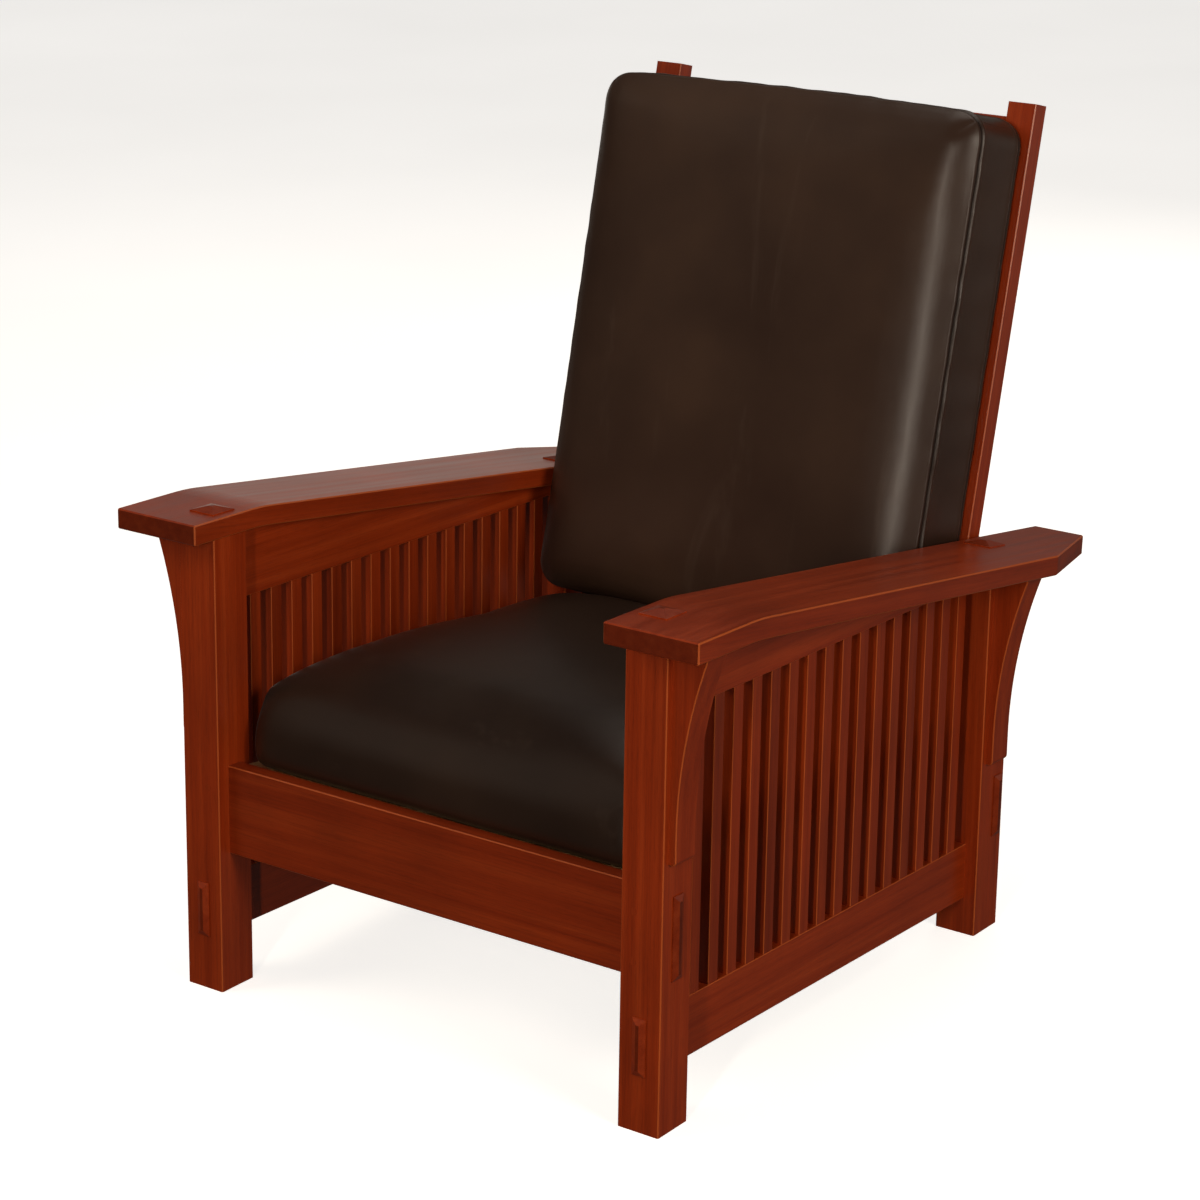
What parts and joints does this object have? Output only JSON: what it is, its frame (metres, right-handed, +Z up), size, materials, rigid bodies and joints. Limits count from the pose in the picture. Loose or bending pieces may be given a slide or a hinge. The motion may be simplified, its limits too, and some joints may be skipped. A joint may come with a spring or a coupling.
{
  "type": "reclining armchair",
  "caption": "Spindle-sided reclining armchair with bent sloping arms, corbels, a hinged ladder back and loose leather cushions.",
  "frame": {"origin": "on the floor, below the middle of the whole chair's box", "axes": "+Z up, +Y to the chair's rear, +X to the right as seen from the front; the wooden frame leans back by 1.6 degrees on its shorter rear legs"},
  "size_m": [0.854, 0.9533, 1.0415],
  "materials": {
    "frame_wood": "satin lacquer over reddish-brown stained cherry",
    "turned_wood": "satin lacquer over turned cherry",
    "washer_wood": "waxed maple spacer, stained",
    "deck_plywood": "sanded birch plywood, unstained",
    "cleat_wood": "planed, oiled",
    "cushion_leather": "soft pigmented leather with a low sheen"
  },
  "bodies": {
    "frame": {"front_cleat": "cleat_wood", "front_rail": "frame_wood", "left_arm": "frame_wood", "left_front_corbel": "frame_wood", "left_front_leg": "frame_wood", "left_rear_corbel": "frame_wood", "left_rear_leg": "frame_wood", "left_side_stretcher": "frame_wood", "left_spindles": "frame_wood", "left_upper_rail": "frame_wood", "pivot_pins": "turned_wood", "pivot_washers": "washer_wood", "rail_dowels": "frame_wood", "rear_cleat": "cleat_wood", "rear_rail": "frame_wood", "right_arm": "frame_wood", "right_front_corbel": "frame_wood", "right_front_leg": "frame_wood", "right_rear_corbel": "frame_wood", "right_rear_leg": "frame_wood", "right_side_stretcher": "frame_wood", "right_spindles": "frame_wood", "right_upper_rail": "frame_wood", "seat_cushion": "cushion_leather", "seat_deck": "deck_plywood"},
    "back": {"back_cushion": "cushion_leather", "back_rung_1": "frame_wood", "back_rung_2": "frame_wood", "back_rung_3": "frame_wood", "back_rung_4": "frame_wood", "back_rung_5": "frame_wood", "left_back_post": "frame_wood", "right_back_post": "frame_wood"},
    "left_peg": {"left_adjusting_peg": "turned_wood"},
    "right_peg": {"right_adjusting_peg": "turned_wood"}
  },
  "joints": [
    {"name": "back_recline", "type": "hinge", "parent": "frame", "child": "back", "pos_m": [0, 0.26477, 0.24147], "axis": [-1, 0, 0], "range_deg": [0, 19.08]},
    {"name": "left_peg_shift", "type": "slide", "parent": "frame", "child": "left_peg", "axis": [0, 0.9893, -0.1457], "range_m": [0, 0.096]},
    {"name": "right_peg_shift", "type": "slide", "parent": "frame", "child": "right_peg", "axis": [0, 0.9893, -0.1457], "range_m": [0, 0.096]}
  ],
  "couplings": [
    {"joint": "left_peg_shift", "follows": "back_recline", "m_per_rad": 0.288},
    {"joint": "right_peg_shift", "follows": "back_recline", "m_per_rad": 0.288}
  ]
}
